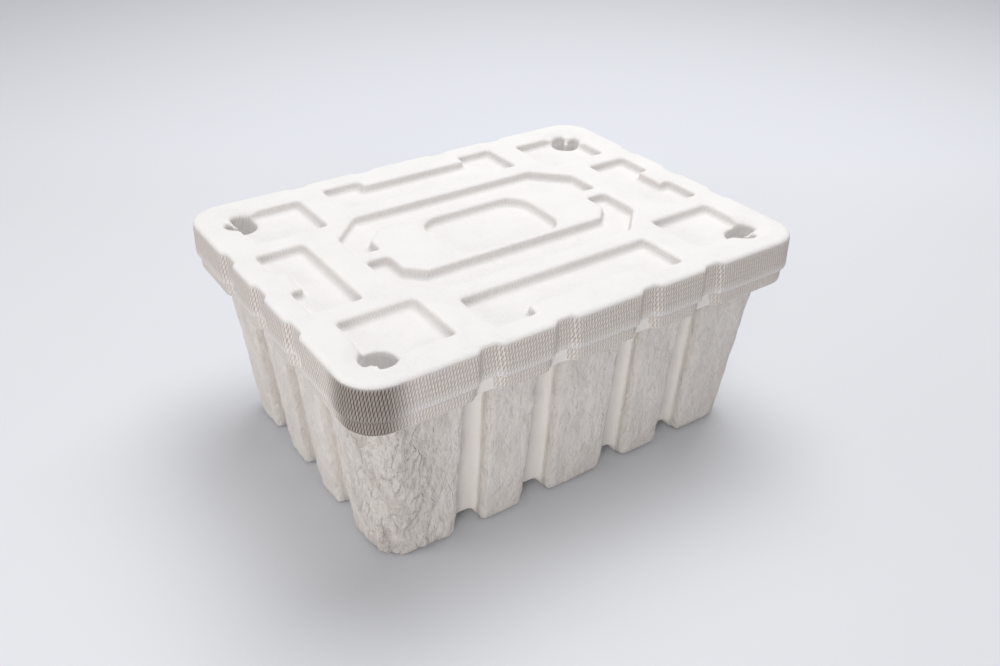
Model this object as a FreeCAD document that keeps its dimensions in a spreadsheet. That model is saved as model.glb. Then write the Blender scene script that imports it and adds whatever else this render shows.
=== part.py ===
import FreeCAD, Part
import Sketcher
import math
import os

# Moulded pulp box of two pieces, in millimetres.
# The tray stands on hollow legs with flutes between them, and its rim turns out and down.
# The lid lies on the rim. Its panel has sunken pockets, and its skirt hangs over the rim.
# The frame has +Z up, its origin on the floor below the middle, and +X along the long sides.
# The long sides face -Y and +Y, and the ends face -X and +X.

SIZES = {
    # The closed box, and what both pieces share
    "total_length": 400,
    "total_width": 302,
    "total_height": 181,
    "wall": 3,
    "clearance": 0.5,
    "outer_corner_radius": 28,
    # The lid's skirt, and the notches that run down it
    "skirt_height": 28.5,
    "skirt_flare": 1,
    "notch_depth": 5,
    "side_notch_half_width": 11,
    "end_notch_half_width": 13,
    "lid_edge_bevel": 2,
    # The tray's rim, legs and flutes
    "lip_height": 39,
    "leg_inset_top": 12.4,
    "leg_inset_bottom": 27.5,
    "leg_corner_radius": 27,
    "inner_flute_place": 38.5,
    "outer_flute_place": 100.5,
    "end_flute_place": 57.5,
    "flute_inset_top": 25,
    "flute_inset_bottom": 39.5,
    "flute_half_width_top": 10.5,
    "flute_half_width_bottom": 13.5,
    "flute_side_lean": 2.5,
    "foot_height": 8,
    "foot_depth": 24,
    # The lid's sunken pockets
    "pocket_depth": 8,
    "pocket_draft": 12,
    "corner_pocket_inset": 28,
    "corner_pocket_length": 62,
    "corner_pocket_width": 56,
    "side_pocket_half_length": 86,
    "side_pocket_reach": 65,
    "side_pocket_jog_half_length": 50,
    "side_pocket_jog_inset": 31,
    "end_pocket_half_length": 49,
    "end_pocket_reach": 60,
    "end_pocket_jog_half_length": 13.5,
    "end_pocket_jog_inset": 30,
    # The channel round the raised island, and the pocket in the island
    "channel_half_length": 115,
    "channel_half_width": 69,
    "channel_chamfer": 28,
    "island_half_length": 95,
    "island_half_width": 39,
    "island_chamfer": 14,
    "bridge_middle": 3,
    "bridge_half_width": 6,
    "middle_pocket_half_length": 50,
    "middle_pocket_half_width": 35,
    "middle_pocket_radius": 20,
    # The blind cups in the corner pockets
    "cup_end_inset": 35,
    "cup_side_inset": 36,
    "cup_radius": 13.5,
    "cup_depth": 24,
    "cup_draft": 4,
    "cup_wedge_half_width": 4.5,
    "cup_wedge_reach": 11,
}

doc = FreeCAD.newDocument("pulp_box")
sheet = doc.addObject("Spreadsheet::Sheet", "sizes")
for row, (name, number) in enumerate(SIZES.items(), start=1):
    sheet.set("A" + str(row), name)
    sheet.set("B" + str(row), str(number))
    sheet.setAlias("B" + str(row), name)
doc.recompute()


class Amount:
    """A size on the sheet, or a sum of sizes: its formula and its present number."""

    def __init__(self, number, formula=None):
        self.number = number
        self.formula = formula or str(number)

    def joined(self, sign, other, number):
        return Amount(number, "(" + self.formula + " " + sign + " " + other.formula + ")")

    def __add__(self, other):
        other = amount(other)
        return self.joined("+", other, self.number + other.number)

    def __sub__(self, other):
        other = amount(other)
        return self.joined("-", other, self.number - other.number)

    def __mul__(self, other):
        other = amount(other)
        return self.joined("*", other, self.number * other.number)

    def __truediv__(self, other):
        other = amount(other)
        return self.joined("/", other, self.number / other.number)

    def __neg__(self):
        return amount(0) - self

    def root(self):
        return Amount(math.sqrt(self.number), "sqrt(" + self.formula + ")")


def amount(value):
    return value if isinstance(value, Amount) else Amount(value)


class Sheet:
    """The sheet's sizes as amounts, by name."""

    def __getattr__(self, name):
        return Amount(float(SIZES[name]), "sizes." + name)


size = Sheet()
NOTHING = amount(0)

# Sums that more than one piece uses
half_length = size.total_length / 2
half_width = size.total_width / 2
rim_top = size.total_height - size.wall
skirt_bottom = size.total_height - size.skirt_height
lip_bottom = rim_top - size.lip_height
lip_gap = size.wall + size.clearance


def slope_between(at_bottom, at_top, bottom, top, height):
    """A size that changes evenly from a bottom level to a top level, at some height."""
    return at_bottom + (at_top - at_bottom) * (height - bottom) / (top - bottom)


def skirt_inset(height):
    return slope_between(NOTHING, size.skirt_flare, skirt_bottom, size.total_height, height)


def skirt_corner(height):
    return size.outer_corner_radius - skirt_inset(height)


def leg_inset(height):
    return slope_between(size.leg_inset_bottom, size.leg_inset_top, NOTHING, rim_top, height)


def flute_inset(height):
    return slope_between(size.flute_inset_bottom, size.flute_inset_top, NOTHING, rim_top, height)


def flute_half_width(height):
    return slope_between(
        size.flute_half_width_bottom, size.flute_half_width_top, NOTHING, rim_top, height
    )


# Sketches

def bind(thing, property_name, value):
    thing.setExpression(property_name, amount(value).formula)


def origin_plane(body, role):
    return next(plane for plane in body.Origin.OriginFeatures if plane.Role == role)


def flat_sketch(body, name, height):
    """An empty level sketch of the body, at a height above the floor."""
    sketch = body.newObject("Sketcher::SketchObject", name)
    sketch.AttachmentSupport = (origin_plane(body, "XY_Plane"), "")
    sketch.MapMode = "FlatFace"
    bind(sketch, "AttachmentOffset.Base.z", height)
    return sketch


def constrain(sketch, kind, *values):
    """Add a constraint. A last value that is an amount binds it to the sheet."""
    last = values[-1]
    plain = [*values[:-1], last.number] if isinstance(last, Amount) else values
    index = sketch.addConstraint(Sketcher.Constraint(kind, *plain))
    if isinstance(last, Amount):
        bind(sketch, "Constraints[" + str(index) + "]", last)


def fix_point(sketch, geometry, end, x, y):
    constrain(sketch, "DistanceX", -1, 1, geometry, end, amount(x))
    constrain(sketch, "DistanceY", -1, 1, geometry, end, amount(y))


def point(x, y):
    return FreeCAD.Vector(amount(x).number, amount(y).number, 0)


def draw_polygon(sketch, corners):
    """A closed outline of straight lines, each corner fixed by its two amounts."""
    points = [point(x, y) for x, y in corners]
    lines = []
    for start, end in zip(points, points[1:] + points[:1]):
        lines.append(sketch.addGeometry(Part.LineSegment(start, end), False))
    for line, following in zip(lines, lines[1:] + lines[:1]):
        constrain(sketch, "Coincident", line, 2, following, 1)
    for line, (x, y) in zip(lines, corners):
        fix_point(sketch, line, 1, x, y)


def draw_rectangle(sketch, left, right, front, back):
    draw_polygon(sketch, [(left, front), (right, front), (right, back), (left, back)])


def draw_rounded_rectangle(sketch, half_x, half_y, radius):
    """A rectangle about the middle, with four equal round corners."""
    x, y, r = half_x.number, half_y.number, radius.number
    quarter = math.pi / 2
    lines = []
    arcs = []
    for turn in range(4):
        across, along = (x, y) if turn % 2 == 0 else (y, x)
        swing = FreeCAD.Rotation(FreeCAD.Vector(0, 0, 1), 90 * turn)
        start = swing.multVec(FreeCAD.Vector(across, r - along, 0))
        end = swing.multVec(FreeCAD.Vector(across, along - r, 0))
        centre = swing.multVec(FreeCAD.Vector(across - r, along - r, 0))
        circle = Part.Circle(centre, FreeCAD.Vector(0, 0, 1), r)
        lines.append(sketch.addGeometry(Part.LineSegment(start, end), False))
        arc = Part.ArcOfCircle(circle, turn * quarter, (turn + 1) * quarter)
        arcs.append(sketch.addGeometry(arc, False))
    for line, arc, following in zip(lines, arcs, lines[1:] + lines[:1]):
        constrain(sketch, "Tangent", line, 2, arc, 1)
        constrain(sketch, "Tangent", arc, 2, following, 1)
    for turn, line in enumerate(lines):
        sign = 1 if turn in (0, 1) else -1
        if turn % 2 == 0:
            constrain(sketch, "Vertical", line)
            constrain(sketch, "DistanceX", -1, 1, line, 1, half_x * sign)
        else:
            constrain(sketch, "Horizontal", line)
            constrain(sketch, "DistanceY", -1, 1, line, 1, half_y * sign)
    constrain(sketch, "Radius", arcs[0], radius)
    for arc in arcs[1:]:
        constrain(sketch, "Equal", arcs[0], arc)


def draw_circle(sketch, x, y, radius):
    circle = Part.Circle(point(x, y), FreeCAD.Vector(0, 0, 1), radius.number)
    index = sketch.addGeometry(circle, False)
    fix_point(sketch, index, 3, x, y)
    constrain(sketch, "Radius", index, radius)


def draw_wedged_circle(sketch, x, y, radius, wedge_half_width, wedge_reach):
    """A circle that a wedge enters from its outer corner, at 45 degrees, towards its middle."""
    along = (radius * radius - wedge_half_width * wedge_half_width).root()
    diagonal = math.sqrt(0.5)
    far = (along + wedge_half_width) * diagonal
    near = (along - wedge_half_width) * diagonal
    tip = (radius - wedge_reach) * diagonal
    start = math.atan2(far.number, near.number)
    end = math.atan2(near.number, far.number) + 2 * math.pi
    circle = Part.Circle(point(x, y), FreeCAD.Vector(0, 0, 1), radius.number)
    arc = sketch.addGeometry(Part.ArcOfCircle(circle, start, end), False)
    lower_end = point(x + far, y + near)
    upper_end = point(x + near, y + far)
    wedge_tip = point(x + tip, y + tip)
    inward = sketch.addGeometry(Part.LineSegment(lower_end, wedge_tip), False)
    outward = sketch.addGeometry(Part.LineSegment(wedge_tip, upper_end), False)
    constrain(sketch, "Coincident", arc, 2, inward, 1)
    constrain(sketch, "Coincident", inward, 2, outward, 1)
    constrain(sketch, "Coincident", outward, 2, arc, 1)
    fix_point(sketch, arc, 3, x, y)
    constrain(sketch, "Radius", arc, radius)
    fix_point(sketch, inward, 2, x + tip, y + tip)
    constrain(sketch, "DistanceY", -1, 1, inward, 1, y + near)
    constrain(sketch, "DistanceX", -1, 1, outward, 2, x + near)


# Features

def loft(body, name, lower, upper, additive):
    """Join two level outlines by straight walls, as solid or as a cut."""
    kind = "PartDesign::AdditiveLoft" if additive else "PartDesign::SubtractiveLoft"
    feature = body.newObject(kind, name)
    feature.Profile = lower
    feature.Sections = [upper]
    feature.Ruled = True
    return feature


def drafted_block(body, name, bottom, top):
    """A rounded block whose walls lean. Each end is its level, its inset and its corner radius."""
    ends = []
    for end, (level, inset, radius) in (("bottom", bottom), ("top", top)):
        sketch = flat_sketch(body, name + "_" + end, level)
        draw_rounded_rectangle(sketch, half_length - inset, half_width - inset, radius)
        ends.append(sketch)
    return loft(body, name, ends[0], ends[1], True)


def cut_down(body, sketch, name, depth, draft=None):
    """Cut a sketch's outline downwards from its level, narrowing with depth."""
    pocket = body.newObject("PartDesign::Pocket", name)
    pocket.Profile = sketch
    bind(pocket, "Length", depth)
    if draft is not None:
        bind(pocket, "TaperAngle", -draft)
    return pocket


def mirrored(body, name, features, planes=("YZ_Plane", "XZ_Plane")):
    """Repeat features on the other side of the middle, or on all four quarters."""
    base = body.Tip
    mirrors = []
    for role in planes:
        mirror = body.newObject("PartDesign::Mirrored", name + "_" + role[:2])
        mirror.MirrorPlane = (origin_plane(body, role), [""])
        mirrors.append(mirror)
    pattern = body.newObject("PartDesign::MultiTransform", name)
    pattern.BaseFeature = base
    pattern.Originals = features
    pattern.Transformations = mirrors
    body.Tip = pattern
    return pattern


# The tray, as an outer form less a hollow that is one wall smaller all round

def cut_flute(body, name, skin, bottom, top, outline):
    """Cut one flute between two levels, by a loft of its outline at each."""
    ends = []
    for end, height in (("bottom", bottom), ("top", top)):
        sketch = flat_sketch(body, name + "_" + end, height)
        depth = flute_inset(height) + skin
        mouth = flute_half_width(height) + size.flute_side_lean + skin
        floor = flute_half_width(height) - size.flute_side_lean + skin
        draw_polygon(sketch, outline(depth, mouth, floor))
        ends.append(sketch)
    return loft(body, name, ends[0], ends[1], False)


def side_flute(place):
    """The outline of a flute in the back side: its depth, and half widths at mouth and floor."""
    def outline(depth, mouth, floor):
        return [
            (place - mouth, half_width),
            (place - floor, half_width - depth),
            (place + floor, half_width - depth),
            (place + mouth, half_width),
        ]
    return outline


def end_flute(place):
    """The outline of a flute in the right end."""
    def outline(depth, mouth, floor):
        return [
            (half_length, place - mouth),
            (half_length, place + mouth),
            (half_length - depth, place + floor),
            (half_length - depth, place - floor),
        ]
    return outline


def tray_form(name, skin):
    """The tray's legs and floor, with every wall moved in by the skin."""
    body = doc.addObject("PartDesign::Body", name)
    bottom = skin
    top = rim_top + skin
    drafted_block(
        body, name + "_block",
        (bottom, leg_inset(bottom) + skin, size.leg_corner_radius - skin),
        (top, leg_inset(top) + skin, size.leg_corner_radius - skin),
    )
    below = bottom - size.wall
    flute_top = size.total_height - size.pocket_depth - size.wall * 2 - size.clearance * 2 + skin
    flutes = [
        cut_flute(body, name + "_inner_flute", skin, below, flute_top,
                  side_flute(size.inner_flute_place)),
        cut_flute(body, name + "_outer_flute", skin, below, flute_top,
                  side_flute(size.outer_flute_place)),
        cut_flute(body, name + "_end_flute", skin, below, flute_top,
                  end_flute(size.end_flute_place)),
    ]
    middle = cut_flute(body, name + "_middle_flute", skin, below, flute_top, end_flute(NOTHING))
    mirrored(body, name + "_flutes", flutes)
    mirrored(body, name + "_middle_flutes", [middle], ("YZ_Plane",))

    floor_level = size.foot_height + skin
    strip_half_width = size.flute_half_width_bottom - size.flute_side_lean + skin
    strip_start = size.leg_inset_bottom + size.wall
    hollow = flat_sketch(body, name + "_floor_outline", floor_level)
    reach = size.leg_inset_bottom + size.foot_depth - skin
    draw_rectangle(hollow, reach - half_length, half_length - reach,
                   reach - half_width, half_width - reach)
    cut_down(body, hollow, name + "_floor", floor_level)
    for place_name, place in (("inner", size.inner_flute_place), ("outer", size.outer_flute_place)):
        strip = flat_sketch(body, name + "_" + place_name + "_strip_outline", floor_level)
        draw_rectangle(strip, place - strip_half_width, place + strip_half_width,
                       strip_start - half_width, half_width - strip_start)
        cut = cut_down(body, strip, name + "_" + place_name + "_strip", floor_level)
        mirrored(body, name + "_" + place_name + "_strips", [cut], ("YZ_Plane",))
    for place_name, place in (("end", size.end_flute_place), ("middle", NOTHING),
                              ("other_end", -size.end_flute_place)):
        strip = flat_sketch(body, name + "_" + place_name + "_strip_outline", floor_level)
        draw_rectangle(strip, strip_start - half_length, half_length - strip_start,
                       place - strip_half_width, place + strip_half_width)
        cut_down(body, strip, name + "_" + place_name + "_strip", floor_level)
    return body


# The notches down the lid's skirt and down the tray's lip, which follow each other

def cut_notches(body, name, level, depth, skin):
    """Cut notches with walls at 45 degrees. The skin is how far the wall lies inside the lid's."""
    widening = skin * math.tan(math.radians(22.5))
    reach = size.notch_depth + skin
    notches = []
    places = (
        ("inner", size.inner_flute_place, size.side_notch_half_width, side_flute),
        ("outer", size.outer_flute_place, size.side_notch_half_width, side_flute),
        ("end", size.end_flute_place, size.end_notch_half_width, end_flute),
        ("middle", NOTHING, size.end_notch_half_width, end_flute),
    )
    for place_name, place, half, outline in places:
        floor = half - size.notch_depth + widening
        sketch = flat_sketch(body, name + "_" + place_name + "_outline", level)
        draw_polygon(sketch, outline(place)(reach, floor + reach, floor))
        notches.append(cut_down(body, sketch, name + "_" + place_name, depth))
    mirrored(body, name + "_four", notches[:3])
    mirrored(body, name + "_two", notches[3:], ("YZ_Plane",))


def rim_form(name, skin):
    """The tray's rim and lip, with every wall moved in by the skin."""
    body = doc.addObject("PartDesign::Body", name)
    bottom = lip_bottom - skin
    top = rim_top - skin
    inset = lip_gap + skin
    drafted_block(
        body, name + "_block",
        (bottom, skirt_inset(bottom) + inset, skirt_corner(bottom) - inset),
        (top, skirt_inset(top) + inset, skirt_corner(top) - inset),
    )
    cut_notches(body, name + "_notch", top, size.lip_height + size.wall, inset)
    return body


# The lid, made the same way

def corner_pocket(skin):
    right = half_length - size.corner_pocket_inset
    back = half_width - size.corner_pocket_inset
    left = right - size.corner_pocket_length
    front = back - size.corner_pocket_width
    return [
        (left - skin, front - skin),
        (right + skin, front - skin),
        (right + skin, back + skin),
        (left - skin, back + skin),
    ]


# How far the long and end pockets stay from the skirt, to clear the tray's inner face
pocket_bottom = size.total_height - size.pocket_depth - size.wall
pocket_inset = leg_inset(pocket_bottom) + size.wall * 2 + size.clearance * 2


def side_pocket(skin):
    """The long pocket along the back side, which steps in along its middle."""
    end = size.side_pocket_half_length + skin
    step = size.side_pocket_jog_half_length - skin
    front = half_width - size.side_pocket_reach - skin
    back = half_width - pocket_inset + skin
    stepped_back = half_width - size.side_pocket_jog_inset + skin
    return [
        (-end, front), (end, front), (end, back), (step, back),
        (step, stepped_back), (-step, stepped_back), (-step, back), (-end, back),
    ]


def end_pocket(skin):
    """The pocket along the right end, which steps in at its middle."""
    side = size.end_pocket_half_length + skin
    step = size.end_pocket_jog_half_length - skin
    left = half_length - size.end_pocket_reach - skin
    right = half_length - pocket_inset + skin
    stepped_right = half_length - size.end_pocket_jog_inset + skin
    return [
        (left, -side), (right, -side), (right, -step), (stepped_right, -step),
        (stepped_right, step), (right, step), (right, side), (left, side),
    ]


def channel(skin, turn):
    """Half of the channel round the island, from bridge to bridge. Turn is 1 behind, -1 in front."""
    trim = skin * (2 - math.sqrt(2))
    start = size.bridge_middle * turn + size.bridge_half_width - skin
    outer_end = size.channel_half_length + skin
    outer_side = size.channel_half_width + skin
    outer_cut = size.channel_chamfer + trim
    inner_end = size.island_half_length - skin
    inner_side = size.island_half_width - skin
    inner_cut = size.island_chamfer - trim
    right_half = [
        (inner_end - inner_cut, inner_side),
        (inner_end, inner_side - inner_cut),
        (inner_end, start),
        (outer_end, start),
        (outer_end, outer_side - outer_cut),
        (outer_end - outer_cut, outer_side),
    ]
    left_half = [(-x, y) for x, y in reversed(right_half)]
    return [(x, y * turn) for x, y in right_half + left_half]


def lid_form(name, skin):
    """The lid, with every wall moved in by the skin."""
    body = doc.addObject("PartDesign::Body", name)
    outermost = skin is NOTHING
    bottom = skirt_bottom - skin
    top = size.total_height - skin
    block_top = top - size.lid_edge_bevel if outermost else top
    drafted_block(
        body, name + "_block",
        (bottom, skirt_inset(bottom) + skin, skirt_corner(bottom) - skin),
        (block_top, skirt_inset(block_top) + skin, skirt_corner(block_top) - skin),
    )
    if outermost:
        bevelled = skirt_inset(top) + size.lid_edge_bevel
        drafted_block(
            body, name + "_bevel",
            (block_top, skirt_inset(block_top), skirt_corner(block_top)),
            (top, bevelled, size.outer_corner_radius - bevelled),
        )
    cut_notches(body, name + "_notch", top, size.skirt_height + size.wall, skin)

    def sink(pocket_name, corners):
        sketch = flat_sketch(body, name + "_" + pocket_name + "_outline", top)
        draw_polygon(sketch, corners)
        return cut_down(body, sketch, name + "_" + pocket_name, size.pocket_depth,
                        size.pocket_draft)

    sink("front_channel", channel(skin, -1))
    sink("back_channel", channel(skin, 1))
    middle = flat_sketch(body, name + "_middle_pocket_outline", top)
    draw_rounded_rectangle(
        middle, size.middle_pocket_half_length + skin, size.middle_pocket_half_width + skin,
        size.middle_pocket_radius + skin,
    )
    cut_down(body, middle, name + "_middle_pocket", size.pocket_depth, size.pocket_draft)
    cup_x = half_length - size.cup_end_inset
    cup_y = half_width - size.cup_side_inset
    cup_outline = flat_sketch(body, name + "_cup_outline", top)
    if outermost:
        draw_wedged_circle(cup_outline, cup_x, cup_y, size.cup_radius,
                           size.cup_wedge_half_width, size.cup_wedge_reach)
    else:
        draw_circle(cup_outline, cup_x, cup_y, size.cup_radius + skin)
    cup = cut_down(body, cup_outline, name + "_cup", size.cup_depth, size.cup_draft)
    corner = sink("corner_pocket", corner_pocket(skin))
    mirrored(body, name + "_corners", [cup, corner])
    right_end = sink("end_pocket", end_pocket(skin))
    mirrored(body, name + "_ends", [right_end], ("YZ_Plane",))
    back_side = sink("side_pocket", side_pocket(skin))
    mirrored(body, name + "_sides", [back_side], ("XZ_Plane",))
    return body


def cut_away(label, kept, removed):
    """A solid less another, as a sub-part of its own."""
    cut = doc.addObject("Part::Cut", label)
    cut.Base = kept
    cut.Tool = removed
    cut.Label = label
    return cut


tray_outside = tray_form("tray_outside", NOTHING)
tray_inside = tray_form("tray_inside", size.wall)
rim_outside = rim_form("rim_outside", NOTHING)
rim_inside = rim_form("rim_inside", size.wall)
lid_outside = lid_form("lid_outside", NOTHING)
lid_inside = lid_form("lid_inside", size.wall)
rim = cut_away("rim", rim_outside, rim_inside)
filled_tray = doc.addObject("Part::Fuse", "filled_tray")
filled_tray.Base = rim
filled_tray.Tool = tray_outside
tray = cut_away("tray", filled_tray, tray_inside)
lid = cut_away("lid", lid_outside, lid_inside)

doc.recompute()
for thing in doc.Objects:
    if "Invalid" in thing.State or "Error" in thing.State:
        raise RuntimeError(thing.Label + " failed: " + thing.getStatusString())
os.makedirs("parts", exist_ok=True)
for piece in (tray, lid):
    if piece.Shape.isNull() or not piece.Shape.isValid():
        raise RuntimeError(piece.Label + " isn't a valid solid")
    print(piece.Label, "volume", round(piece.Shape.Volume), "solids", len(piece.Shape.Solids))
    piece.Shape.exportStep("parts/" + piece.Label + ".step")
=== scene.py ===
# %% [markdown]
# # A moulded pulp shipping box
#
# The box is two mouldings of bleached paper pulp: a ribbed tray that stands on hollow legs, and a
# lid whose skirt drops over the tray's rim. Wet pulp is sucked onto a wire screen and dried, which
# gives such a box its look: edges are soft, the screen leaves rows of small slots on the steep
# walls, and the free side of the pulp dries flaky and creased.
#
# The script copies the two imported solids, softens them, adds the creases and the screen's print,
# and sets the box on a pale studio floor.

# %% The frame with the two solids
import math

import bmesh
import bpy
import numpy as np
from mathutils import Matrix, Vector, noise
from mathutils.bvhtree import BVHTree


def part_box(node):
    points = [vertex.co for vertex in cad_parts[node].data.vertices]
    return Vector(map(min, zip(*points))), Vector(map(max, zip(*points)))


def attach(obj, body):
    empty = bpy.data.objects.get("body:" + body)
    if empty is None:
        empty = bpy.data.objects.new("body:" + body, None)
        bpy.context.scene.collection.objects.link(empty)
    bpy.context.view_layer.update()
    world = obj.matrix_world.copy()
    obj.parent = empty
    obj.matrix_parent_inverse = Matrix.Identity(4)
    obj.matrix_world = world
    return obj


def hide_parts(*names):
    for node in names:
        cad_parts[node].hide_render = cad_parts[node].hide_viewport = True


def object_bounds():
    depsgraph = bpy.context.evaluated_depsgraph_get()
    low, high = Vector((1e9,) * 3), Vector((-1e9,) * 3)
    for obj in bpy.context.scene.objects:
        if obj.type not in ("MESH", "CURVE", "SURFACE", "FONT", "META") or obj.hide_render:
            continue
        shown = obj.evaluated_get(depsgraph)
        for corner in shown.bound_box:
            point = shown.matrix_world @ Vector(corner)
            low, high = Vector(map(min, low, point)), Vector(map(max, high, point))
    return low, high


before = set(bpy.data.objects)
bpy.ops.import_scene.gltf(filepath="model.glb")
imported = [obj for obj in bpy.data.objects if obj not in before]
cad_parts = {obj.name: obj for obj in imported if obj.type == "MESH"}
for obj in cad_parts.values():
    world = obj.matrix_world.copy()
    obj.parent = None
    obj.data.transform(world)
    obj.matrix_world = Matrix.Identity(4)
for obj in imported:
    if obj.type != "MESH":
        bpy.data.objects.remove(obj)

cad_low, cad_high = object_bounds()
print("solids:", sorted(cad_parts), "box", [round(v, 4) for v in cad_high - cad_low])

# %% [markdown]
# ## Sizes
#
# All lengths are in metres. The outline and the heights of the lid's skirt are measured on the lid's
# box. The few lengths that a box can't tell, such as the radius of its corners, are written out.

# %% Lengths that several steps share
MM = 0.001
lid_low, lid_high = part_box("lid")
HALF_LENGTH, HALF_WIDTH = lid_high.x, lid_high.y
SKIRT_BOTTOM, LID_TOP = lid_low.z, lid_high.z
LIP_BOTTOM = 139 * MM
RIM_CORNER = 28 * MM
RIM_BAND = 9 * MM
print("skirt from", round(SKIRT_BOTTOM, 4), "to", round(LID_TOP, 4))

# %% [markdown]
# ## Small helpers
#
# `smooth_step` fades from 0 to 1 between two values. `outline_depth` tells how far a point lies
# inside a rectangle with rounded corners, which is how the rim, the skirt and the legs are told
# apart. `read_points` and `read_normals` give the vertices of a mesh as arrays, because arithmetic
# on a whole array is much faster than going from vertex to vertex.

# %% Helpers for places and meshes
def smooth_step(low, high, value):
    """0 below low, 1 above high, with a soft change between them."""
    share = np.clip((value - low) / (high - low), 0, 1)
    return share * share * (3 - 2 * share)


def outline_depth(points, half_length, half_width, radius):
    """How far each point lies inside a rounded rectangle that stands upright."""
    beyond_x = np.abs(points[:, 0]) - (half_length - radius)
    beyond_y = np.abs(points[:, 1]) - (half_width - radius)
    round_part = np.hypot(np.maximum(beyond_x, 0), np.maximum(beyond_y, 0))
    flat_part = np.minimum(np.maximum(beyond_x, beyond_y), 0)
    return radius - round_part - flat_part


def read_points(mesh):
    """The vertices' places, one row each."""
    points = np.empty(len(mesh.vertices) * 3, np.float32)
    mesh.vertices.foreach_get("co", points)
    return points.reshape(-1, 3).astype(float)


def read_normals(mesh):
    """The vertices' normals, one row each."""
    normals = np.empty(len(mesh.vertices) * 3, np.float32)
    mesh.vertex_normals.foreach_get("vector", normals)
    return normals.reshape(-1, 3).astype(float)


def triangles_of(mesh):
    """How many triangles the mesh draws."""
    return sum(len(face.vertices) - 2 for face in mesh.polygons)


# %% [markdown]
# ## Copies of the two solids
#
# The tray and the lid are one moulding each, so each becomes one piece here. They could be modelled
# again from simple shapes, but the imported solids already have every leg, flute and pocket in its
# place, so a copy of each is the better start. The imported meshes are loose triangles, and a copy
# has to be merged before anything can smooth it.

# %% Merged copies
def merged_copy(node):
    """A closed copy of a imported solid's mesh."""
    work = bmesh.new()
    work.from_mesh(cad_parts[node].data)
    bmesh.ops.remove_doubles(work, verts=work.verts, dist=0.01 * MM)
    return work


solid_tray = merged_copy("tray")
solid_lid = merged_copy("lid")
print("merged corners: tray", len(solid_tray.verts), "lid", len(solid_lid.verts))

# %% [markdown]
# ## What can be seen
#
# Only the outside of the closed box shows, so fine faces are spent there alone. Testing from one
# camera would leave the other sides bare. Instead a vertex counts as seen where one of 17 straight
# lines, which go up, level and aslant all round, leaves the box without meeting either solid.

# %% Lines of sight
SIGHT_TURNS = 8
SIGHT_RISE = 0.8
SIGHT_START = 0.8 * MM

SIGHT_LINES = [Vector((0, 0, 1))]
for turn in range(SIGHT_TURNS):
    angle = turn * 2 * math.pi / SIGHT_TURNS
    SIGHT_LINES.append(Vector((math.cos(angle), math.sin(angle), 0)))
    SIGHT_LINES.append(Vector((math.cos(angle), math.sin(angle), SIGHT_RISE)).normalized())

both = bmesh.new()
for solid in (solid_tray, solid_lid):
    part = bpy.data.meshes.new("part_of_both")
    solid.to_mesh(part)
    both.from_mesh(part)
    bpy.data.meshes.remove(part)
walls = BVHTree.FromBMesh(both)
both.free()
print(len(SIGHT_LINES), "lines of sight")


def seen_vertices(mesh):
    """1 for each vertex that shows from outside, 0 for the others."""
    seen = np.zeros(len(mesh.vertices))
    for vertex in mesh.vertices:
        start = vertex.co + vertex.normal * SIGHT_START
        for way in SIGHT_LINES:
            if vertex.normal.dot(way) > 0.1 and walls.ray_cast(start, way)[0] is None:
                seen[vertex.index] = 1
                break
    return seen


def grown(mesh, marks, rings):
    """The marks, spread to the neighbours as many rings out as asked."""
    ends = np.empty(len(mesh.edges) * 2, np.int32)
    mesh.edges.foreach_get("vertices", ends)
    ends = ends.reshape(-1, 2)
    for _ in range(rings):
        wider = marks.copy()
        np.maximum.at(wider, ends[:, 0], marks[ends[:, 1]])
        np.maximum.at(wider, ends[:, 1], marks[ends[:, 0]])
        marks = wider
    return marks


# %% [markdown]
# ## Soft shells
#
# Pulp that dries on a screen has no sharp edge. Bevels on so many short edges would run into one
# another, and subdivision would keep the solids' long, thin triangles. So an even grid of small
# faces replaces them, and some rounds of smoothing soften every edge alike. The lid's grid is finer,
# because its forms are smaller. The feet get more rounds, because they wear round in use.

# %% Even grids and soft edges
TRAY_GRID, TRAY_ROUNDS = 2.0 * MM, 11
LID_GRID, LID_ROUNDS = 1.5 * MM, 9
FEET_TOP, FEET_ROUNDS = 24 * MM, 30
SMOOTHING = 0.5


def baked(shell):
    """The mesh of a shell with its modifiers applied, which then come off."""
    graph = bpy.context.evaluated_depsgraph_get()
    mesh = bpy.data.meshes.new_from_object(shell.evaluated_get(graph))
    shell.modifiers.clear()
    shell.data = mesh
    return mesh


def soft_shell(name, solid, grid, rounds):
    """An even, rounded copy of a solid."""
    mesh = bpy.data.meshes.new(name)
    solid.to_mesh(mesh)
    solid.free()
    shell = bpy.data.objects.new(name, mesh)
    bpy.context.scene.collection.objects.link(shell)
    even = shell.modifiers.new("even_grid", "REMESH")
    even.mode = "VOXEL"
    even.voxel_size = grid
    soft = shell.modifiers.new("soft_edges", "SMOOTH")
    soft.factor = SMOOTHING
    soft.iterations = rounds
    print(name, "has", triangles_of(baked(shell)), "triangles before thinning")
    return shell


def worn_feet(shell, rounds):
    """Rounds the feet of the legs more than the rest, fading out towards their top."""
    feet = shell.vertex_groups.new(name="feet")
    for vertex in shell.data.vertices:
        share = 1 - vertex.co.z / FEET_TOP
        if share > 0:
            feet.add([vertex.index], min(1.0, 1.6 * share), "REPLACE")
    soft = shell.modifiers.new("worn_feet", "SMOOTH")
    soft.factor = SMOOTHING
    soft.iterations = rounds
    soft.vertex_group = feet.name
    baked(shell)
    shell.vertex_groups.clear()


tray = soft_shell("tray_pulp_shell", solid_tray, TRAY_GRID, TRAY_ROUNDS)
lid = soft_shell("lid_pulp_shell", solid_lid, LID_GRID, LID_ROUNDS)
worn_feet(tray, FEET_ROUNDS)

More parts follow.
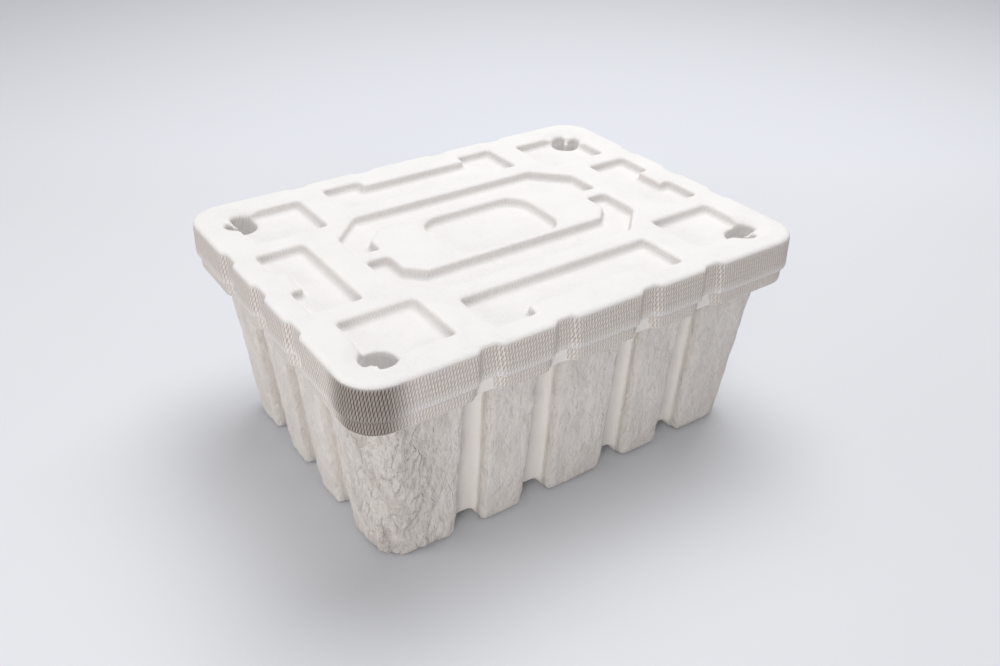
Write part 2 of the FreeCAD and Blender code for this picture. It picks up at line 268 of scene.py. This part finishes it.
# %% [markdown]
# ## Where each texture goes
#
# The screen prints its slots on the rim, the legs dry flaky, and the lid's panel is pressed flat.
# A material for each area would show a seam where two meet. So each shell has one material, and
# three numbers at each vertex say how much of each texture it gets there:
#
# - `imprint`: the print of slots, on the skirt, the lip and the steep walls of the lid's pockets;
# - `flake`: the flakes, on the outside of the legs, and most of all on one corner leg, with painted
#   shade that greys them;
# - `shade`: painted shade on the rim at the corner above that leg, darkest in its slots.

# %% Three numbers for each vertex
WORN_CORNER = np.array([-HALF_LENGTH, -HALF_WIDTH])
WORN_AND_SHADED_RIM = (20 * MM, 44 * MM)
WORN_LEG = (45 * MM, 95 * MM)
LEG_CORNER = 27 * MM
LEG_LEVELS = (25 * MM, 125 * MM)
LIP_BAND = 8 * MM
CUP_MOUTH = 9 * MM


def near_worn_corner(points, inner, outer):
    """1 within inner of the worn corner, 0 beyond outer."""
    distance = np.hypot(*(points[:, :2] - WORN_CORNER).T)
    return 1 - smooth_step(inner, outer, distance)


def leg_reach(points, level, axis):
    """How far the legs reach along x or y at a level."""
    slab = np.abs(points[:, 2] - level) < TRAY_GRID
    return np.abs(points[slab, axis]).max()


def leg_depth(points):
    """How far each point of the tray lies inside the slanted outline that the legs share."""
    low, high = LEG_LEVELS
    share = (points[:, 2] - low) / (high - low)
    reach_x = leg_reach(points, low, 0) * (1 - share) + leg_reach(points, high, 0) * share
    reach_y = leg_reach(points, low, 1) * (1 - share) + leg_reach(points, high, 1) * share
    return outline_depth(points, reach_x, reach_y, LEG_CORNER)


def keep_numbers(mesh, **numbers):
    """Writes named numbers to the vertices of a mesh."""
    for name, values in numbers.items():
        layer = mesh.attributes.new(name, "FLOAT", "POINT")
        layer.data.foreach_set("value", values.astype(np.float32))


def mark_lid(mesh):
    """Print on the skirt and on the pockets' walls, and none on the flat panel."""
    points, normals = read_points(mesh), read_normals(mesh)
    depth = outline_depth(points, HALF_LENGTH, HALF_WIDTH, RIM_CORNER)
    steep = smooth_step(0.35, 0.75, 1 - np.abs(normals[:, 2]))
    skirt = (depth < RIM_BAND) * smooth_step(1.5 * MM, 4.5 * MM, LID_TOP - points[:, 2])
    lower = 0.55 + 0.45 * smooth_step(3 * MM, 9 * MM, points[:, 2] - SKIRT_BOTTOM)
    pocket = (depth >= RIM_BAND) * smooth_step(0.8 * MM, 2 * MM, LID_TOP - points[:, 2])
    in_cup = smooth_step(CUP_MOUTH, CUP_MOUTH + 1 * MM, LID_TOP - points[:, 2])
    worn_and_shaded = near_worn_corner(points, *WORN_AND_SHADED_RIM)
    keep_numbers(
        mesh,
        imprint=steep * (skirt * lower + 0.3 * pocket * (1 - in_cup)),
        flake=0.04 + 0.16 * worn_and_shaded * skirt,
        # painted shade on the rim at the worn corner
        shade=worn_and_shaded * skirt,
    )


def mark_tray(mesh):
    """Print on the lip, and flakes on the legs but not in the flutes between them."""
    points, normals = read_points(mesh), read_normals(mesh)
    height = points[:, 2]
    lip = smooth_step(LIP_BOTTOM - 1 * MM, LIP_BOTTOM + 1.5 * MM, height)
    depth = outline_depth(points, HALF_LENGTH, HALF_WIDTH, RIM_CORNER)
    outer_lip = lip * (depth < LIP_BAND) * smooth_step(0.3, 0.7, 1 - np.abs(normals[:, 2]))
    on_leg = 1 - smooth_step(5 * MM, 10 * MM, leg_depth(points))
    worn_and_shaded = near_worn_corner(points, *WORN_LEG)
    rim_worn_and_shaded = near_worn_corner(points, *WORN_AND_SHADED_RIM)
    keep_numbers(
        mesh,
        imprint=outer_lip * (0.75 + 0.25 * rim_worn_and_shaded),
        flake=(1 - lip) * (0.04 + on_leg * (0.4 + 0.56 * worn_and_shaded)) + 0.05 * lip,
        # painted shade on the rim at the worn corner
        shade=rim_worn_and_shaded * outer_lip,
    )


mark_lid(lid.data)
mark_tray(tray.data)
print("marked imprint, flake and shade on both shells")

# %% [markdown]
# ## Lumps and creases
#
# Dried pulp is never quite flat. Relief in the material alone would leave the legs' outline ruler
# straight, so the coarse unevenness moves the vertices along their normals: waves everywhere, and
# lumps and creases most on the worn corner leg, less on the other legs and not on the lid's panel.
# The noise is a fixed function of the place, so each run gives the same shape, and no vertex is
# moved out of the box that the solids fill.

# %% Uneven surfaces
CUP_PLACES = [(x * MM, y * MM) for x in (-165, 165) for y in (-115, 115)]
CUP_DISH = 3.5 * MM
CUP_DISH_REACH = (12 * MM, 24 * MM)

# Middle, spread and depth in millimetres. A negative depth is a lump.
FOOT_DENTS = [
    ((-163, -122, 24), (9, 9, 17), 3.2),
    ((-172, -113, 20), (8, 8, 12), -1.6),
    ((-150, -127, 12), (10, 8, 9), 1.6),
]

# How many grains the noises have to the metre.
WAVES = 22
BROAD_LUMPS, SMALL_LUMPS = 55, 125
LONG_CREASES, SHORT_CREASES = 70, 130

TRAY_WAVE, LID_WAVE = 0.35 * MM, 0.25 * MM
LUMP_HEIGHT = 2.7 * MM
CREASE_DEPTH = 1.7 * MM
UPRIGHT_STRETCH = 0.55
LEAST_FLAKE = 0.08
SEEN_MARGIN = 2


def move_vertices(mesh, points):
    """Puts the vertices at new places, one row each."""
    mesh.vertices.foreach_set("co", points.astype(np.float32).ravel())
    mesh.update()


def dished_round_cups(mesh):
    """Lets the lid's flat top sink softly towards each cup, as the screen rounds it there."""
    points = read_points(mesh)
    at_top = smooth_step(LID_TOP - 7 * MM, LID_TOP - 1 * MM, points[:, 2])
    for x, y in CUP_PLACES:
        distance = np.hypot(points[:, 0] - x, points[:, 1] - y)
        points[:, 2] -= CUP_DISH * at_top * (1 - smooth_step(*CUP_DISH_REACH, distance))
    move_vertices(mesh, points)


def dented_foot(mesh):
    """Presses the dents into the foot of the worn corner leg, and raises the lump beside them."""
    points, normals = read_points(mesh), read_normals(mesh)
    for centre, spread, depth in FOOT_DENTS:
        away = (points - np.array(centre) * MM) / (np.array(spread) * MM)
        share = np.exp(-(away ** 2).sum(axis=1))
        points -= normals * (share * depth * MM)[:, None]
    move_vertices(mesh, points)


def crease(place, width):
    """1 in the middle of a winding crease, 0 away from it."""
    return max(0.0, 1 - abs(noise.noise(place)) / width)


def roughened(mesh, seen, wave):
    """Moves the seen vertices of a mesh by waves, lumps and creases."""
    flake = np.empty(len(mesh.vertices), np.float32)
    mesh.attributes["flake"].data.foreach_get("value", flake)
    points, normals = read_points(mesh), read_normals(mesh)
    moves = np.zeros(len(points))
    for index in np.flatnonzero(seen):
        x, y, z = points[index]
        rough = float(flake[index])
        moves[index] = wave * noise.noise(Vector((x, y, z)) * WAVES)
        if rough > LEAST_FLAKE:
            long_way = Vector((x, y, z * UPRIGHT_STRETCH))
            broad, small = (noise.noise(long_way * grains) for grains in (BROAD_LUMPS, SMALL_LUMPS))
            lumps = 0.8 * broad + 0.7 * small
            cracks = crease(long_way * LONG_CREASES, 0.14) + 0.8 * crease(long_way * SHORT_CREASES, 0.18)
            moves[index] += rough ** 1.4 * (LUMP_HEIGHT * lumps - CREASE_DEPTH * cracks)
    points += normals * moves[:, None]
    move_vertices(mesh, np.clip(points, np.array(cad_low), np.array(cad_high)))
    print(f"moved by {moves.min() / MM:.1f} to {moves.max() / MM:.1f} mm")


seen_on = {}
for shell in (tray, lid):
    seen_on[shell.name] = grown(shell.data, seen_vertices(shell.data), SEEN_MARGIN)
dished_round_cups(lid.data)
dented_foot(tray.data)
roughened(tray.data, seen_on[tray.name], TRAY_WAVE)
roughened(lid.data, seen_on[lid.name], LID_WAVE)
print("seen vertices:", {name: int(marks.sum()) for name, marks in seen_on.items()})

# %% [markdown]
# ## Fewer faces where nothing shows
#
# The inside of the closed box is there, but nothing shows it. Deleting it would leave open edges,
# so its faces are collapsed instead, until each shell is well under 200,000 triangles.

# %% Unseen faces collapsed
MOST_TRIANGLES = 186000


def thinned(shell, seen):
    """Collapses the unseen faces of a shell until it has few enough triangles."""
    group = shell.vertex_groups.new(name="unseen")
    group.add([int(i) for i in np.flatnonzero(seen == 0)], 1.0, "REPLACE")
    fewer = shell.modifiers.new("fewer_faces", "DECIMATE")
    fewer.ratio = min(1.0, MOST_TRIANGLES / triangles_of(shell.data))
    fewer.vertex_group = group.name
    fewer.use_collapse_triangulate = True
    print(shell.name, "has", triangles_of(baked(shell)), "triangles")
    shell.vertex_groups.clear()
    shell.data.shade_smooth()


thinned(tray, seen_on[tray.name])
thinned(lid, seen_on[lid.name])

# %% [markdown]
# ## A map for the slots
#
# The screen's slots follow the walls round every corner, where a pattern on plain coordinates would
# shear. So the shells get a map of their own. Its first number is the way round the outline on the
# rim, and the way along the wall in the lid's pockets. Its second number is the height. The pitch
# is stretched a little, so that a whole number of slots fits round the rim and no seam shows.

# %% The map
SLOT_PITCH = 2.4 * MM
SLOT_ROW = 4.0 * MM


def way_round(points):
    """How far round the rim's outline each point lies, from the middle of one short side."""
    straight_x, straight_y = HALF_LENGTH - RIM_CORNER, HALF_WIDTH - RIM_CORNER
    x, y = np.abs(points[..., 0]), np.abs(points[..., 1])
    turned = np.arctan2(np.maximum(y - straight_y, 0), np.maximum(x - straight_x, 1e-9))
    quarter = straight_y + RIM_CORNER * math.pi / 2 + straight_x
    along = np.minimum(y, straight_y) + RIM_CORNER * turned
    along = along + np.where(y > straight_y, straight_x - np.minimum(x, straight_x), 0)
    right, back = points[..., 0] >= 0, points[..., 1] >= 0
    way = np.where(right, along, 2 * quarter - along)
    way = np.where(back, way, 4 * quarter - way)
    slots = round(4 * quarter / SLOT_PITCH)
    return way * slots * SLOT_PITCH / (4 * quarter), slots * SLOT_PITCH


def along_wall(points, normals):
    """How far along its wall each point lies, for walls at any eighth of a turn."""
    eighth = np.round(np.arctan2(normals[:, 1], normals[:, 0]) / (math.pi / 4)) * math.pi / 4
    return points[..., 1] * np.cos(eighth)[:, None] - points[..., 0] * np.sin(eighth)[:, None]


def map_slots(mesh):
    """Adds the map. All faces are triangles by now."""
    corners = np.empty(len(mesh.loops), np.int32)
    mesh.loops.foreach_get("vertex_index", corners)
    points = read_points(mesh)[corners].reshape(-1, 3, 3)
    normals = np.empty(len(mesh.polygons) * 3, np.float32)
    mesh.polygons.foreach_get("normal", normals)
    normals = normals.reshape(-1, 3)
    round_rim, full_round = way_round(points)
    low_side = round_rim < full_round / 2
    crosses = np.ptp(round_rim, axis=1) > full_round / 2
    round_rim = round_rim + full_round * (low_side & crosses[:, None])
    centres = points.mean(axis=1)
    inside = outline_depth(centres, HALF_LENGTH, HALF_WIDTH, RIM_CORNER) > RIM_BAND
    first = np.where(inside[:, None], along_wall(points, normals), round_rim)
    layer = mesh.uv_layers.new(name="slots")
    pairs = np.stack([first, points[..., 2]], axis=-1)
    layer.uv.foreach_set("vector", pairs.astype(np.float32).ravel())


map_slots(tray.data)
map_slots(lid.data)
print("slot rows about", round((LID_TOP - SKIRT_BOTTOM) / SLOT_ROW, 1), "high on the skirt")

# %% [markdown]
# ## Which solid each shell stands for
#
# Each shell takes the place of its solid and belongs to the one body that both solids are on.

# %% Places in the part
for shell, node, pulp in ((tray, "tray", "tray_pulp"), (lid, "lid", "lid_pulp")):
    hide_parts(node)
    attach(shell, "root")
    print(shell.name, "stands for", node)

# %% [markdown]
# ## Colours and the helper for nodes
#
# Colours are written as they look on a screen, and one function turns them into the linear values
# that the renderer counts with. A second one adds a node of any kind, so that a material reads as a
# list of steps.

# %% Helpers for materials
def linear(code):
    """A hex colour such as "e8e6e2" as linear red, green, blue and full cover."""
    parts = [int(code[i:i + 2], 16) / 255 for i in (0, 2, 4)]
    curve = [p / 12.92 if p <= 0.04045 else ((p + 0.055) / 1.055) ** 2.4 for p in parts]
    return (*curve, 1.0)


def add_node(tree, kind, inputs=(), **settings):
    """A node. Each input is a value, an output, or a node, of which the first output is taken."""
    node = tree.nodes.new("ShaderNode" + kind)
    for name, value in settings.items():
        setattr(node, name, value)
    for name, value in inputs.items() if isinstance(inputs, dict) else enumerate(inputs):
        if isinstance(value, bpy.types.Node):
            value = value.outputs[0]
        if isinstance(value, bpy.types.NodeSocket):
            tree.links.new(value, node.inputs[name])
        else:
            node.inputs[name].default_value = value
    return node


def new_material(name):
    """A material with no node yet, and its node tree."""
    material = bpy.data.materials.new(name)
    material.use_nodes = True
    material.node_tree.nodes.clear()
    return material, material.node_tree


# %% [markdown]
# ## The screen's slots
#
# The wire screen leaves upright slots in rows, each row half a slot beside the next. Two waves make
# them: one across, of the slots' pitch, and a slower one upwards that pushes it to the side.

# %% Slots
def screen_slots(tree, jitter):
    """1 in the slots of the screen and 0 between them. They lean, and wander with the jitter."""
    flat = add_node(tree, "UVMap", uv_map="slots")
    axes = add_node(tree, "SeparateXYZ", (flat,)).outputs
    leaning = add_node(tree, "Math", (axes["Y"], -0.2, axes["X"]), operation="MULTIPLY_ADD")
    shaken = add_node(tree, "Math", (jitter, 2.0 * MM, leaning), operation="MULTIPLY_ADD")
    turned = add_node(tree, "Math", (shaken, 2 * math.pi / SLOT_PITCH), operation="MULTIPLY")
    across = add_node(tree, "Math", (turned,), operation="COSINE")
    raised = add_node(tree, "Math", (axes["Y"], math.pi / SLOT_ROW), operation="MULTIPLY")
    upward = add_node(tree, "Math", (raised,), operation="COSINE")
    pushed = add_node(tree, "Math", (upward, 0.4, across), operation="MULTIPLY_ADD")
    woven = add_node(tree, "Math", (pushed,), operation="ABSOLUTE")
    return add_node(tree, "MapRange", (woven, 0.55, 1.2), interpolation_type="SMOOTHSTEP")


# %% [markdown]
# ## The pulp
#
# The real material is bleached paper pulp, moulded wet on a screen and dried. To the eye it is chalky
# and matt: it has no gloss, and its fibres and flakes break up the light. Its slots and the hollows
# between flakes get painted shade, so they are a little darker than the pulp beside them.
#
# A picture of pulp would repeat and stretch. Noise on Object coordinates does neither, and its grains
# have real sizes. A single fibre is far too thin to show, so the finest grain is as coarse as a
# fibre is long. One recipe serves both mouldings, and the numbers kept at the vertices do the rest.

# %% Grains of the pulp
# The size of each grain in millimetres, how far it is drawn upright, its detail and roughness.
GRAINS = {
    "fibres": (1.5385, 1.0, 2.0, 0.55),
    "patches": (31.25, 1.0, 2.0, 0.55),
    "broad": (13.3333, 0.5, 4.0, 0.62),
    "small": (4.7619, 0.5, 2.0, 0.55),
    "winding": (17.2414, 0.42, 1.6, 0.7),
}


def pulp_grains(tree):
    """The noises that the pulp is made of, by name."""
    place = add_node(tree, "TexCoord").outputs["Object"]
    grains = {}
    for word, (size, upright, detail, roughness) in GRAINS.items():
        drawn = add_node(tree, "Mapping", {"Vector": place, "Scale": (1.0, 1.0, upright)})
        values = {"Vector": drawn, "Scale": 1 / (size * MM), "Detail": detail, "Roughness": roughness}
        grains[word] = add_node(tree, "TexNoise", values)
    return grains


def flake_edges(tree, grains):
    """Plates that rise slowly and end in a sharp edge, on some patches only."""
    here = add_node(
        tree, "MapRange", (grains["patches"], 0.38, 0.6), interpolation_type="SMOOTHSTEP"
    )
    steps = add_node(tree, "Math", (grains["broad"], 6.0), operation="MULTIPLY")
    plates = add_node(tree, "Math", (steps,), operation="FRACT")
    return add_node(tree, "Math", (plates, here), operation="MULTIPLY")


def long_creases(tree, grains):
    """Thin upright creases, where the winding noise passes its middle value."""
    beside = add_node(tree, "Math", (grains["winding"], 0.5), operation="SUBTRACT")
    away = add_node(tree, "Math", (beside,), operation="ABSOLUTE")
    thin = add_node(tree, "MapRange", (away, 0.028, 0.0), interpolation_type="SMOOTHSTEP")
    broken = add_node(
        tree, "MapRange", (grains["small"], 0.42, 0.55), interpolation_type="SMOOTHSTEP"
    )
    return add_node(tree, "Math", (thin, broken), operation="MULTIPLY")


# %% The pulp's recipe
# Painted shade: the dark colour laid on the rim at the worn corner, most in its slots.
PAINTED_PIT_SHADE = "5d5149"


def pulp(name, tone, warm, worn_and_shaded, slot_and_hollow_shade):
    """Matt pulp of one tone, warmer where printed, with painted shade: greyer where flaky, darker in its
    slots and hollows and at one corner.
    """
    material, tree = new_material(name)
    imprint, flake, shade = (
        add_node(tree, "Attribute", attribute_name=word).outputs["Fac"]
        for word in ("imprint", "flake", "shade")
    )
    grains = pulp_grains(tree)
    slot = screen_slots(tree, grains["patches"])
    sunk = add_node(tree, "Math", (slot, imprint), operation="MULTIPLY")
    edges = flake_edges(tree, grains)
    creases = long_creases(tree, grains)

    # The relief in millimetres. The first four parts are as strong as the pulp is flaky.
    relief = 0.0
    for part, height in ((grains["broad"], 8.0), (grains["small"], 3.0), (edges, -1.9), (creases, -0.8)):
        relief = add_node(tree, "Math", (part, height, relief), operation="MULTIPLY_ADD")
    relief = add_node(tree, "Math", (relief, flake), operation="MULTIPLY")
    for part, height in ((grains["fibres"], 0.16), (sunk, -0.8)):
        relief = add_node(tree, "Math", (part, height, relief), operation="MULTIPLY_ADD")
    surface = add_node(tree, "Bump", {"Strength": 1.0, "Distance": MM, "Height": relief})

    # How much of each colour covers the ones before it.
    printed = add_node(tree, "Math", (imprint, 0.8), operation="MULTIPLY")
    # Painted shade in the screen's slots.
    painted_slot_shade = add_node(tree, "Math", (sunk, 0.42), operation="MULTIPLY")
    # Painted shade on the flaky parts: the flakier, the greyer, as the real flakes shade one another.
    soon_grey = add_node(tree, "Math", (flake, 0.5), operation="POWER")
    painted_flake_shade = add_node(tree, "Math", (soon_grey, 0.66), operation="MULTIPLY")
    # Painted shade in the hollows of the flakes' relief and at their edges.
    deep = add_node(
        tree, "MapRange", (grains["broad"], 0.5, 0.3), interpolation_type="SMOOTHSTEP"
    )
    hollow = add_node(tree, "Math", (deep, edges), operation="MAXIMUM")
    flaky_hollow = add_node(tree, "Math", (hollow, flake), operation="MULTIPLY")
    painted_hollow_shade = add_node(tree, "Math", (flaky_hollow, 0.33), operation="MULTIPLY")
    # Painted shade at the worn corner's rim, darkest in its slots.
    in_slots = add_node(tree, "Math", (slot, 0.35, 0.6), operation="MULTIPLY_ADD")
    painted_corner_shade = add_node(tree, "Math", (shade, in_slots), operation="MULTIPLY")

    patchy = (*(0.94 * part for part in linear(tone)[:3]), 1.0)
    colour = linear(tone)
    layers = [(grains["patches"], patchy), (printed, linear(warm)), (painted_slot_shade, linear(slot_and_hollow_shade))]
    layers += [(painted_flake_shade, linear(worn_and_shaded)), (painted_hollow_shade, linear(slot_and_hollow_shade)), (painted_corner_shade, linear(PAINTED_PIT_SHADE))]
    for share, layer in layers:
        colour = add_node(tree, "Mix", {0: share, 6: colour, 7: layer}, data_type="RGBA").outputs[2]
    shader = add_node(
        tree, "BsdfPrincipled",
        {"Base Color": colour, "Roughness": 0.92, "Specular IOR Level": 0.2, "Normal": surface},
    )
    add_node(tree, "OutputMaterial", {"Surface": shader})
    return material


# %% Pulp on both shells
# The tray's free side dried open, so it looks rougher and a little warmer.
tray.data.materials.clear()
tray.data.materials.append(pulp("bleached_pulp_flaky", "f0ebe6", "e6dcd5", "c4bdb8", "93867d"))
# The lid's panel was pressed, so it looks smoother and whiter.
lid.data.materials.clear()
lid.data.materials.append(pulp("bleached_pulp_pressed", "f0efee", "e6dcd5", "c4bdb8", "93867d"))
print("pulp on", tray.name, "and", lid.name)

# %% [markdown]
# ## Floor
#
# The box stands on a sheet of pale, matt studio paper. A curved sweep would do the same, but a wide
# flat floor is simpler and fills the view. Its colour turns a little lighter and cooler far behind the
# box, and the lighter part is painted light, as on a sweep that rises towards the lamps.

# %% A sheet of studio paper
VIEW_TURN = math.radians(35.154)
VIEW_WAY = Vector((math.sin(VIEW_TURN), math.cos(VIEW_TURN), 0))
FLOOR_HALF = 4.0
FLOOR_GAP = 0.1 * MM
SWEEP_STARTS, SWEEP_ENDS = 0.38, 0.62


def studio_floor():
    """A flat floor just under the box."""
    work = bmesh.new()
    bmesh.ops.create_grid(work, x_segments=1, y_segments=1, size=FLOOR_HALF)
    bmesh.ops.translate(work, verts=work.verts, vec=(0, 0, cad_low.z - FLOOR_GAP))
    mesh = bpy.data.meshes.new("studio_floor")
    work.to_mesh(mesh)
    work.free()
    sheet = bpy.data.objects.new("studio_floor", mesh)
    bpy.context.scene.collection.objects.link(sheet)
    return sheet


def studio_paper():
    """Uncoated paper, which shows the soft shadow to the eye and no gloss."""
    material, tree = new_material("studio_paper")
    place = add_node(tree, "TexCoord").outputs["Object"]
    behind = add_node(
        tree, "VectorMath", (place, VIEW_WAY), operation="DOT_PRODUCT"
    ).outputs["Value"]
    far = add_node(
        tree, "MapRange", (behind, SWEEP_STARTS, SWEEP_ENDS), interpolation_type="SMOOTHSTEP"
    )
    # Painted light: the far colour is lighter, as where a sweep would rise towards the lamps.
    near_tone, painted_lit_far_tone = linear("dadce1"), linear("dcdfe5")
    colour = add_node(tree, "Mix", {0: far, 6: near_tone, 7: painted_lit_far_tone}, data_type="RGBA").outputs[2]
    shader = add_node(
        tree, "BsdfPrincipled",
        {"Base Color": colour, "Roughness": 0.9, "Specular IOR Level": 0.1},
    )
    add_node(tree, "OutputMaterial", {"Surface": shader})
    return material


floor = studio_floor()
floor.data.materials.append(studio_paper())
print("floor", [round(v, 2) for v in floor.dimensions])

# %% [markdown]
# ## Light
#
# A white box shows its form by shade alone, and hard lamps would burn it out. A large soft light
# hangs above the box, to the right and a little behind it. The lid is therefore the brightest face,
# and a soft shadow falls towards the viewer. Two small soft lights on the left lift the short side,
# and the room adds even light from all sides.

# %% Three soft lights and the room
def soft_light(name, place, target, size, power, tint):
    """A square area light that points at a target. Its size is in metres and its power in watts."""
    light = bpy.data.lights.new(name, "AREA")
    light.size = size
    light.energy = power
    light.color = tint
    lamp = bpy.data.objects.new(name, light)
    lamp.location = place
    lamp.rotation_euler = (Vector(target) - Vector(place)).to_track_quat("-Z", "Y").to_euler()
    bpy.context.scene.collection.objects.link(lamp)
    print(name, "of", power, "W")


soft_light("overhead_softbox", (0.55, 0.4, 1.9), (0.05, 0, 0), 1.5, 32, (1, 1, 1))
soft_light("left_softbox", (-1.5, 0.45, 0.45), (-0.15, 0, 0.1), 0.6, 4.5, (1, 0.995, 0.99))
soft_light("front_left_softbox", (-0.85, -0.88, 0.36), (-0.05, -0.1, 0.1), 0.4, 4.4, (1, 0.985, 0.97))

room = bpy.data.worlds.new("studio_room")
room.use_nodes = True
background = room.node_tree.nodes["Background"]
background.inputs["Color"].default_value = (1.0, 0.99, 0.985, 1.0)
background.inputs["Strength"].default_value = 0.38
bpy.context.scene.world = room
bpy.context.scene.view_settings.view_transform = "Standard"

# %% [markdown]
# ## Camera
#
# The camera looks down on the near corner. Its place, turn, dip and slight roll were worked out from
# the way the box's edges run together in a photograph, so the render shows the box from the same
# place. A camera set by eye would not bring every edge onto its line.

# %% The camera
VIEW_PLACE = Vector((-0.3934, -0.5738, 0.5202))
VIEW_DIP = math.radians(32.539)
VIEW_ROLL = 0.0178953
VIEW_LENS = 34.62

forward = Vector((
    math.sin(VIEW_TURN) * math.cos(VIEW_DIP),
    math.cos(VIEW_TURN) * math.cos(VIEW_DIP),
    -math.sin(VIEW_DIP),
))
level_right = Vector((math.cos(VIEW_TURN), -math.sin(VIEW_TURN), 0))
level_up = level_right.cross(forward)
right = level_right * math.cos(VIEW_ROLL) + level_up * math.sin(VIEW_ROLL)
up = level_up * math.cos(VIEW_ROLL) - level_right * math.sin(VIEW_ROLL)

lens = bpy.data.cameras.new("studio_camera")
lens.lens = VIEW_LENS
camera = bpy.data.objects.new("studio_camera", lens)
facing = Matrix((right, up, -forward)).transposed().to_4x4()
camera.matrix_world = Matrix.Translation(VIEW_PLACE) @ facing
bpy.context.scene.collection.objects.link(camera)
bpy.context.scene.camera = camera
print("camera at", [round(v, 3) for v in VIEW_PLACE])
